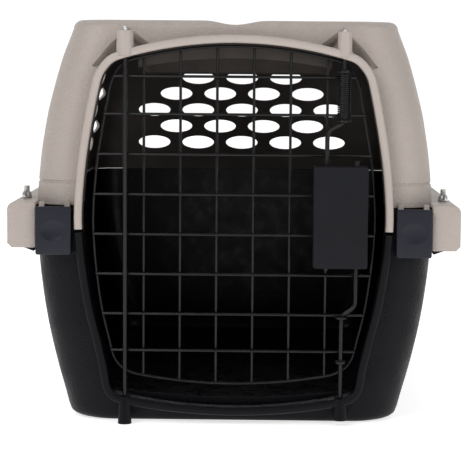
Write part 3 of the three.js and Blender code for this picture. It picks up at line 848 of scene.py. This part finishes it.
def lower_shell():
    tub = body_skin("lower_shell_moulding", 0, SPLIT_Z, 0, PEBBLED_BLACK)
    # The tub's room and the doorway's jamb take the darker inner colour, which is painted shade.
    room = body_skin("room", 4, SPLIT_Z + 10, WALL, SHADED_INNER_BLACK)
    cut(tub, room, prism("way", grown(DOORWAY, 0.5), FACE_Y - 20, FACE_Y + 8, SHADED_INNER_BLACK))
    rim = rim_piece("rim", run_of(lambda p: p[1] < TONGUE_Z - 0.4), RIM_BACK_Y, SMOOTH_BLACK, SHADED_INNER_BLACK)
    join(tub, rim)
    for side in (-1, 1):
        x = side * ROD_X
        join(tub, boss("boss", x, 0 if side < 0 else 5, 26, 5.9, SMOOTH_BLACK),
             block("web", (x - 4, ROD_Y + 3, 5.2), (x + 4, FACE_Y + 18, 24), SMOOTH_BLACK, 1, 2))
        ledge_x = side * 167.5
        join(tub, lower_flange(side), ear_filler(side),
             block("ledge", (ledge_x - 12.5, FACE_Y - 3, 166), (ledge_x + 12.5, FACE_Y + 12, 170),
                   PEBBLED_BLACK, 0.6, 2))
    join(tub, block("rear", (-147, REAR_Y - 2.5, SPLIT_Z - WALL), (147, REAR_EDGE_Y - 3.4, SPLIT_Z),
                    PEBBLED_BLACK))
    lip = crown(108, 29.5, 22, 16)
    lip += [(-x, z) for x, z in reversed(lip[:-1])]
    join(tub, prism("threshold", [(108, 3.5)] + lip + [(-108, 3.5)], FACE_Y + 9, FACE_Y + 12, SMOOTH_BLACK))
    cut(tub, bolt_holes(), rod_bore(-ROD_X, 9, 60), rod_bore(ROD_X, 9, 60))
    return finished(tub, "shells", "lower_plastic", "lower_shell", limit=28)


# ---------------------------------------------------------------- door
def door_wires():
    y = centre("door_perimeter_wire").y
    edge = [(x, y, z) for x, z in door_outline()]
    finished(swept("edge_wire", edge, WIRE_R, WIRE_BLACK, closed=True), "door", "coated_wire",
             "door_perimeter_wire")
    for i in range(1, 7):
        node = f"door_upright_wire_{i}"
        low, high = corners(node)
        p = centre(node)
        wire = swept(f"upright_wire_{i}", [(p.x, p.y, low.z - 0.4), (p.x, p.y, high.z + 0.4)], WIRE_R,
                     WIRE_BLACK)
        finished(wire, "door", "coated_wire", node)
    for i in range(1, 9):
        node = f"door_cross_wire_{i}"
        low, high = corners(node)
        p = centre(node)
        wire = swept(f"cross_wire_{i}", [(low.x + 1, p.y, p.z), (high.x - 1, p.y, p.z)], WIRE_R, WIRE_BLACK)
        finished(wire, "door", "coated_wire", node)


def weld_nuggets():
    """Flattened beads where uprights and cross wires are welded."""
    beads = []
    for i in range(1, 7):
        for j in range(1, 9):
            up, across = centre(f"door_upright_wire_{i}"), centre(f"door_cross_wire_{j}")
            spot = (up.x, (up.y + across.y) / 2 - 1.2, across.z)
            profile = [(2.4 * t - 1.2 + 1.2, 1.15 * math.sqrt(max(0.0,
                    1 - (2 * t - 1) ** 2))) for t in (0, 0.15, 0.4, 0.6, 0.85, 1)]
            beads.append(turned("bead", spot, (0, 1, 0), profile, WIRE_BLACK, 10))
    piece = merged(beads)
    piece.name = "weld_nuggets"
    return finished(piece, "door", "coated_wire", limit=80)


def hinge_rod():
    low, high = corners("door_hinge_rod")
    rod = swept("hinge_rod", [(-ROD_X, ROD_Y, low.z + 1.5), (-ROD_X, ROD_Y, high.z - 5),
                              (-ROD_X, ROD_Y, high.z - 1.5)],
                ROD_R, WIRE_BLACK, 24)
    bare_above(rod, high.z - 5)
    return finished(rod, "door", "coated_wire", "door_hinge_rod")


def guide_loop(name, node):
    """An eye of wire that a latch rod slides through, with its two tails on the cross wire."""
    p = centre(node)
    turns = [
        (ROD_X + 4.9 * math.cos(a), ROD_Y + 4.9 * math.sin(a), p.z)
        for a in (math.radians(d) for d in range(-215, 36, 10))
    ]
    return finished(swept(name, turns, 1.5, WIRE_BLACK, 12), "door", "coated_wire", node)


# ---------------------------------------------------------------- latch
def latch_rod(name, node, body, points):
    return finished(bare_above(swept(name, rounded_path(points, 6), ROD_R, WIRE_BLACK, 20), ROOF_Z - 12),
                    body, "coated_wire", node)


def latch_rods():
    low, high = corners("latch_rod_upper")
    bar_x = low.x + ROD_R
    latch_rod("upper_rod", "latch_rod_upper", "latch_upper",
              [(ROD_X, ROD_Y, high.z - 1.5), (ROD_X, ROD_Y, ROOF_Z - 12), (ROD_X, ROD_Y, 283),
               (bar_x, ROD_Y, 275), (bar_x, ROD_Y, low.z + 1.5)])
    low, high = corners("latch_rod_lower")
    bar_x = high.x - ROD_R
    latch_rod("lower_rod", "latch_rod_lower", "latch_lower",
              [(ROD_X, ROD_Y, low.z + 1.5), (ROD_X, ROD_Y, 104), (bar_x, ROD_Y, 112),
               (bar_x, ROD_Y, high.z - 1.5)])


def collar(name, node, body):
    """Washer pressed on the rod."""
    p = centre(node)
    r = ROD_Y - corners(node)[0].y
    profile = [(0, r - 0.8), (0.4, r - 0.2), (1.5, r), (2.6, r - 0.2), (3.0, r - 0.8)]
    washer = turned(name, (ROD_X, ROD_Y, p.z - 1.5), (0, 0, 1), profile, WIRE_BLACK, 32)
    cut(washer, block("flat", (ROD_X - 9, -283.5, p.z - 9), (ROD_X + 9, -270, p.z + 9), WIRE_BLACK))
    return finished(washer, body, "coated_wire", node)


def latch_spring():
    low, high = corners("latch_spring")
    turns = 23
    radius = (high.x - low.x) / 2 - 0.75
    steps = turns * 20
    points = []
    for i in range(steps + 1):
        a = 2 * math.pi * turns * i / steps
        depth = min(radius * math.sin(a), high.y - ROD_Y - 0.75)
        points.append((ROD_X + radius * math.cos(a), ROD_Y + depth,
                       low.z + 0.8 + (high.z - low.z - 1.6) * i / steps))
    return finished(swept("coil_spring", points, 0.72, WIRE_BLACK, 8), "latch_upper", "coated_wire",
                    "latch_spring", limit=60)


def rounded_plate(name, low, high, y0, y1, radius, material):
    xs, zs = (low.x, high.x), (low.z, high.z)
    spots = [(xs[1] - radius, zs[1] - radius, 0), (xs[0] + radius, zs[1] - radius, 1),
             (xs[0] + radius, zs[0] + radius, 2), (xs[1] - radius, zs[0] + radius, 3)]
    outline = [
        (cx + radius * math.cos(math.pi / 2 * (q + i / 6)), cz + radius * math.sin(math.pi / 2 * (q + i / 6)))
        for cx, cz, q in spots for i in range(7)
    ]
    return prism(name, outline, y0, y1, material)


def latch_pads():
    low, high = corners("latch_pad_front")
    front = bevelled(rounded_plate("front_grip", low, high, low.y, -296.5, 2.2, LATCH_GREY), 1.1, 3, 50)
    bar_x = corners("latch_rod_upper")[0].x + ROD_R
    middle = (low.z + high.z) / 2
    join(front, block("lug", (bar_x - 4, -297.5, middle + 23), (bar_x + 4, -288, middle + 35),
                      LATCH_GREY, 0.8, 2))
    finished(front, "latch_upper", "latch_plastic", "latch_pad_front")
    low, high = corners("latch_pad_back")
    back = bevelled(rounded_plate("back_grip", low, high, low.y, high.y, 2.2, LATCH_GREY), 0.9, 3, 50)
    slot_low, slot_high = Vector((bar_x - 5, 0, middle - 36)), Vector((bar_x + 5, 0, middle + 36))
    cut(back, rounded_plate("slot", slot_low, slot_high, -300, -280, 4.5, LATCH_GREY))
    finished(back, "latch_lower", "latch_plastic", "latch_pad_back")


# ---------------------------------------------------------------- clips
def clip(word):
    node = f"clip_{word}"
    low, high = corners(node)
    pin = centre(f"clip_pin_{word}")
    x = (low.x + high.x) / 2
    plate_back = low.y + 3.8
    outline_low, outline_high = Vector((low.x, 0, low.z)), Vector((high.x, 0, high.z))
    body = rounded_plate(node + "_cover", outline_low, outline_high, low.y, high.y, 2.0, CLIP_BLUE)
    bevelled(body, 1.3, 4, 50)
    cut(body,
        block("hollow", (low.x + 2.4, plate_back, low.z + 5), (high.x - 2.4, high.y + 5, high.z + 5),
              CLIP_BLUE),
        block("top", (low.x - 5, plate_back, pin.z - 8), (high.x + 5, high.y + 5, high.z + 5), CLIP_BLUE),
        block("back", (low.x - 5, pin.y + 4, low.z + 5), (high.x + 5, high.y + 5, high.z + 5), CLIP_BLUE))
    join(body, turned("knuckle", (x - 8, pin.y, pin.z), (1, 0, 0),
                      [(0, 3.4), (0.4, 3.8), (15.6, 3.8), (16, 3.4)], CLIP_BLUE),
         block("neck", (x - 7.9, low.y + 1, pin.z - 3), (x + 7.9, pin.y, pin.z + 3), CLIP_BLUE, 0.4, 2))
    dish = raw_dish(x, low.y - 0.4, (low.z + high.z) / 2 + 0.5)
    cut(body, dish, turned("bore", (low.x - 5, pin.y, pin.z), (1, 0, 0), [(0, 2.0), (50, 2.0)], CLIP_BLUE))
    return finished(body, node + "_body", "clip_plastic", node, limit=24)


def raw_dish(x, y, z):
    """Shallow oval that a thumb fits."""
    rings = []
    for t in (i / 10 for i in range(11)):
        a = math.pi * t
        rings.append([(x + 12.8 * math.sin(a) * u + 0.001, y - 2.2 * math.cos(a), z + 10.2 * math.sin(a) * v)
                      for u, v in circle(1, 40)])
    rings[0] = [(x + 0.02 * u, y - 2.2, z + 0.02 * v) for u, v in circle(1, 40)]
    rings[-1] = [(x + 0.02 * u, y + 2.2, z + 0.02 * v) for u, v in circle(1, 40)]
    return lofted("dish", rings, CLIP_BLUE)


# ---------------------------------------------------------------- fasteners
def wing_nut(i):
    node = f"wing_nut_{i}"
    low, high = corners(node)
    p = centre(node)
    lengthwise = high.y - low.y > high.x - low.x
    profile = [(0, 4.6), (0.5, 4.9), (4.4, 4.3), (5.4, 3.9), (6.0, 3.3)]
    nut = turned(f"wing_nut_body_{i}", (p.x, p.y, low.z), (0, 0, 1), profile, ZINC, 24)
    for end in (-1, 1):
        outline = [(3.0, 0.8), (7.0, 2.6), (11.0, 5.6), (12.0, 8.8), (10.8, 10.8), (8.4, 10.9),
                   (5.6, 8.4), (3.0, 5.2)]
        curve = spline([(u, v, 0) for u, v in outline], 4, closed=True)
        sheets = []
        for offset in (-1.0, 1.0):
            if lengthwise:
                sheets.append([(p.x + offset, p.y + end * q.x, low.z + q.y) for q in curve])
            else:
                sheets.append([(p.x + end * q.x, p.y + offset, low.z + q.y) for q in curve])
        join(nut, lofted("wing", sheets, ZINC))
    cut(nut, turned("bore", (p.x, p.y, low.z - 2), (0, 0, 1), [(0, 3.2), (20, 3.2)], ZINC, 24))
    return finished(nut, "shells", "zinc_steel", node, limit=40)


def flange_bolt(i):
    node = f"flange_bolt_{i}"
    low, high = corners(node)
    p = centre(node)
    pitch, crest, root = 1.0, 2.9, 2.5
    head = turned(f"bolt_{i}", (p.x, p.y, low.z), (0, 0, 1),
                  [(0, 4.6), (0.5, 5.1), (3.6, 5.1), (4.0, 4.9)], ZINC, 6)
    profile = [(0, crest), (14, crest)]
    count = int((high.z - low.z - 17.4) / pitch)
    for k in range(count):
        profile += [(14.5 + k * pitch, root), (15 + k * pitch, crest)]
    profile += [(high.z - low.z - 3.6, root), (high.z - low.z - 3.0, root - 0.6)]
    join(head, turned("shank", (p.x, p.y, low.z + 3.0), (0, 0, 1), profile, ZINC, 24))
    return finished(head, "shells", "zinc_steel", node, limit=30)


# ---------------------------------------------------------------- handle
def carry_handle():
    low, high = corners("carry_handle")
    z = (low.z + high.z) / 2
    grip_r = 7.0
    reach = high.x - grip_r - 1.4
    end_y = high.y - 20
    points = [(3, -end_y, z), (reach * 0.72, -end_y, z), (reach, -end_y * 0.66, z), (reach, end_y * 0.66, z),
              (reach * 0.72, end_y, z), (3, end_y, z)]
    path = rounded_path(points, 24, 10)
    dense = []
    for a, b in zip(path, path[1:]):
        count = max(1, round((b - a).length / 2.2))
        dense += [a.lerp(b, k / count) for k in range(count)]
    dense.append(path[-1])
    grip = swept("handle_grip", dense, grip_r, PEBBLED_TAUPE, 28, round_ends=False)
    for vertex in grip.data.vertices:
        at = vertex.co / MM
        if at.x > reach - 10 and abs(at.y) < 34:
            swell = 0.45 * (math.cos(2 * math.pi * at.y / 17) - 1)
            axis = Vector((reach, at.y, z))
            vertex.co = (axis + (at - axis) * (1 + swell / grip_r)) * MM
    for end in (-1, 1):
        eye = turned("eye", (0, end * end_y - 5, z), (0, 1, 0),
                     [(0, 6.6), (0.8, 7.5), (9.2, 7.5), (10, 6.6)], PEBBLED_TAUPE, 40)
        pin = turned("pin", (0, end * (end_y + (4 if end > 0 else 20)), z), (0, 1, 0),
                     [(0, 3.0), (0.6, 3.6), (15.4, 3.6), (16, 3.0)], SMOOTH_TAUPE, 28)
        join(grip, eye, pin)
    return finished(grip, "handle", "upper_plastic", "carry_handle", limit=40)


def handle_bracket(word):
    node = f"handle_bracket_{word}"
    low, high = corners(node)
    p = centre(node)
    z = centre("carry_handle").z
    foot = block(f"{word}_bracket", low, (high.x, high.y, low.z + 4.6), SMOOTH_BLACK, 1.2, 3)
    arch = [(9 * math.cos(a), z + 9 * math.sin(a)) for a in (math.pi * i / 20 for i in range(21))]
    join(foot, bevelled(prism("post", arch + [(-9, low.z + 1), (9, low.z + 1)], low.y, high.y,
                              SMOOTH_BLACK), 0.9, 2, 50))
    for side in (-1, 1):
        join(foot, turned("screw", (side * 15, p.y, low.z + 4.2), (0, 0, 1),
                          [(0, 3.2), (0.9, 3.0), (1.4, 2.2)], ZINC, 24))
    cut(foot, turned("bore", (0, low.y - 3, z), (0, 1, 0), [(0, 4.0), (high.y - low.y + 6, 4.0)],
                     SMOOTH_BLACK, 28))
    return finished(foot, "shells", "lower_plastic", node, limit=30)


# ---------------------------------------------------------------- stage
ROOM_LIGHT = 0.12  # the studio's walls; the backdrop behind the carrier is white


def stage():
    paper, nodes, links, shader = node_material("white_paper")
    shader.inputs["Base Color"].default_value = (0.93, 0.93, 0.93, 1)
    shader.inputs["Roughness"].default_value = 0.8
    shader.inputs["Emission Color"].default_value = (1, 1, 1, 1)
    shader.inputs["Emission Strength"].default_value = 0.68
    floor = raw_object("floor", [(-9000, -9000, -0.4), (9000, -9000, -0.4), (9000, 9000, -0.4),
                                 (-9000, 9000, -0.4)],
                       [(0, 1, 2, 3)], paper)
    world = bpy.data.worlds.new("studio")
    bpy.context.scene.world = world
    world.use_nodes = True
    nodes, links = world.node_tree.nodes, world.node_tree.links
    where = nodes.new("ShaderNodeTexCoord")
    axes = nodes.new("ShaderNodeSeparateXYZ")
    links.new(where.outputs["Generated"], axes.inputs["Vector"])
    backdrop = ramp(nodes, links, axes.outputs["Y"], [(0.15, grey(ROOM_LIGHT)), (0.6, grey(1.05))])
    links.new(backdrop, nodes["Background"].inputs["Color"])
    nodes["Background"].inputs["Strength"].default_value = 1.0


def softbox(name, spot, target, size, power):
    lamp = bpy.data.lights.new(name, "AREA")
    lamp.shape = "RECTANGLE"
    lamp.size, lamp.size_y = size
    lamp.energy = power
    holder = bpy.data.objects.new(name, lamp)
    bpy.context.scene.collection.objects.link(holder)
    holder.location = spot
    holder.rotation_euler = (Vector(target) - Vector(spot)).to_track_quat("-Z", "Y").to_euler()


def lights():
    softbox("key", (-1.5, -2.2, 1.9), (0, -0.2, 0.2), (1.4, 1.4), 34)
    softbox("fill", (1.7, -2.0, 1.3), (0, -0.2, 0.2), (1.6, 1.6), 20)
    softbox("top", (0, -0.4, 2.4), (0, 0, 0.2), (1.6, 1.6), 9)


LENS_MM = 130.3
CAMERA_BACK = 1.5834  # metres in front of the rim
CAMERA_DOWN = 5.9  # degrees


def camera():
    lens = bpy.data.cameras.new("camera")
    lens.sensor_width = 36
    lens.lens = LENS_MM
    holder = bpy.data.objects.new("camera", lens)
    bpy.context.scene.collection.objects.link(holder)
    aim = Matrix.Rotation(math.radians(0.82), 4, "Z") @ Matrix.Rotation(math.radians(90 - CAMERA_DOWN),
                                                                        4, "X")
    place = Matrix.Translation((0.0265, RIM_FRONT_Y * MM - CAMERA_BACK, 0.3406))
    holder.matrix_world = place @ aim @ Matrix.Rotation(math.radians(0.45), 4, "Z")
    bpy.context.scene.camera = holder


bpy.context.scene.view_settings.view_transform = "Standard"
camera()
stage()
lights()
upper_shell()
lower_shell()
door_wires()
weld_nuggets()
hinge_rod()
guide_loop("upper_guide_loop", "latch_guide_loop_upper")
guide_loop("lower_guide_loop", "latch_guide_loop_lower")
latch_rods()
collar("upper_collar", "latch_collar_upper", "latch_upper")
collar("lower_collar", "latch_collar_lower", "latch_lower")
latch_spring()
latch_pads()
clip("left")
clip("right")
for number in range(1, 9):
    wing_nut(number)
    flange_bolt(number)
carry_handle()
handle_bracket("front")
handle_bracket("rear")
for node in ("clip_pin_left", "clip_pin_right"):
    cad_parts[node].data.materials.clear()
    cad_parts[node].data.materials.append(ZINC)
